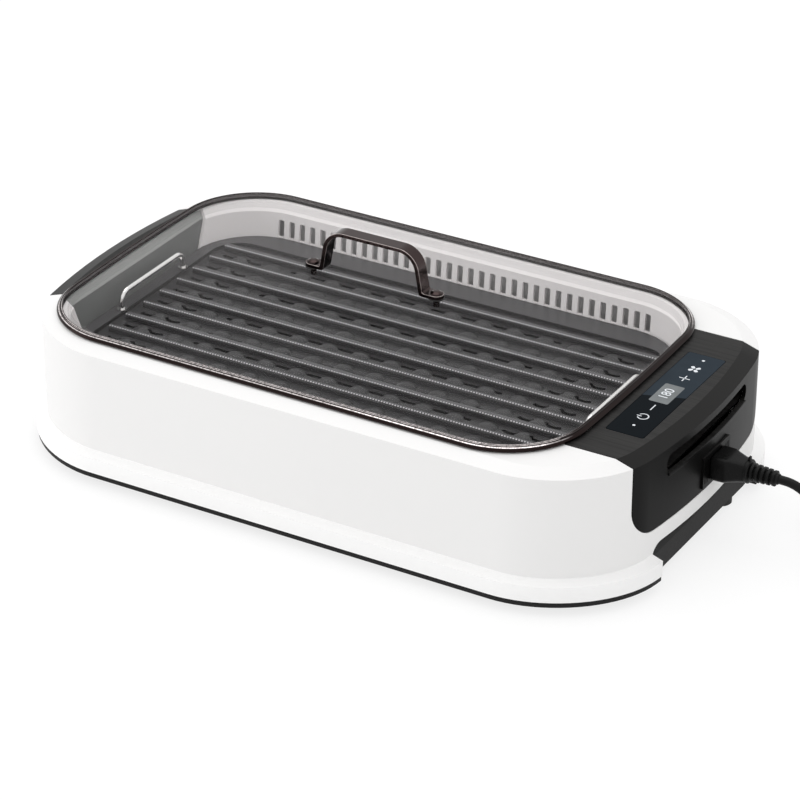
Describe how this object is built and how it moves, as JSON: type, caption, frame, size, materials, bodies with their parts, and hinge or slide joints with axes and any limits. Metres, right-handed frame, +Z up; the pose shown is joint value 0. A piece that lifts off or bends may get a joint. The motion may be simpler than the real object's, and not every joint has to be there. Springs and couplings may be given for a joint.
{
  "type": "electric indoor grill",
  "caption": "Countertop electric grill with a stepped white housing, dark end caps with touch controls, ribbed plate and lift-off domed glass lid.",
  "frame": {"origin": "middle of the grill's footprint, on the surface that its feet stand on", "axes": "+X towards the end with the controls and the power inlet, -Y towards the front, +Z up"},
  "size_m": [0.7066, 0.337, 0.1799],
  "materials": {
    "white_plastic": "satin moulded",
    "cap_metal": "brushed dark",
    "black_plastic": "fine grain",
    "rubber": "matt",
    "touch_glass": "black glass",
    "circuit_board": "solder mask",
    "display_plastic": "diffuser",
    "steel": "bright",
    "polished_steel": "polished",
    "dark_metal": "dark polished",
    "ceramic": "ceramic",
    "wire_insulation": "satin",
    "tray_steel": "non-stick",
    "sheath": "heat-darkened",
    "cast_plate": "non-stick ceramic",
    "lid_glass": "tinted",
    "seal": "satin metal",
    "cord_rubber": "satin"
  },
  "bodies": {
    "base": {"base_pan": "black_plastic", "rubber_feet": "rubber", "housing": "white_plastic", "inner_liner": "white_plastic", "right_end_cap": "cap_metal", "left_end_cap": "cap_metal", "touch_glass": "touch_glass", "display_module": "display_plastic", "control_board": "circuit_board", "power_board": "circuit_board", "power_inlet": "black_plastic", "inlet_pins": "steel", "element_socket": "ceramic", "thermostat_probe": "steel", "fan_motor": "steel", "fan_scroll": "black_plastic", "wiring_harness": "wire_insulation", "base_screws": "steel", "liner_screws": "steel"},
    "fan": {"fan_rotor": "black_plastic", "fan_shaft": "steel"},
    "tray": {"drip_tray": "tray_steel"},
    "element": {"heating_tube": "sheath", "terminal_block": "black_plastic", "terminal_blades": "steel", "element_supports": "steel"},
    "plate": {"grill_plate": "cast_plate", "left_plate_handle": "polished_steel", "right_plate_handle": "polished_steel"},
    "lid": {"lid_glass": "lid_glass", "lid_rim": "dark_metal", "lid_gasket": "seal", "lid_handle": "dark_metal", "handle_screws": "dark_metal", "handle_washers": "rubber"},
    "cord_set": {"power_connector": "cord_rubber", "strain_relief": "cord_rubber", "power_lead": "cord_rubber", "lead_coil": "cord_rubber", "lead_tail": "cord_rubber", "wall_plug": "cord_rubber", "plug_blades": "steel"}
  },
  "joints": [
    {"name": "tray_lift", "type": "slide", "parent": "base", "child": "tray", "axis": [0, 0, 1], "range_m": [0, 0.09]},
    {"name": "element_lift", "type": "slide", "parent": "tray", "child": "element", "axis": [0, 0, 1], "range_m": [0, 0.08]},
    {"name": "plate_lift", "type": "slide", "parent": "element", "child": "plate", "axis": [0, 0, 1], "range_m": [0, 0.08]},
    {"name": "lid_lift", "type": "slide", "parent": "plate", "child": "lid", "axis": [0, 0, 1], "range_m": [0, 0.15]},
    {"name": "fan_spin", "type": "hinge", "parent": "base", "child": "fan", "pos_m": [-0.15, 0, 0.02], "axis": [0, 0, 1], "continuous": true},
    {"name": "lead_unplug", "type": "slide", "parent": "base", "child": "cord_set", "axis": [1, 0, 0], "range_m": [0, 0.03]}
  ]
}
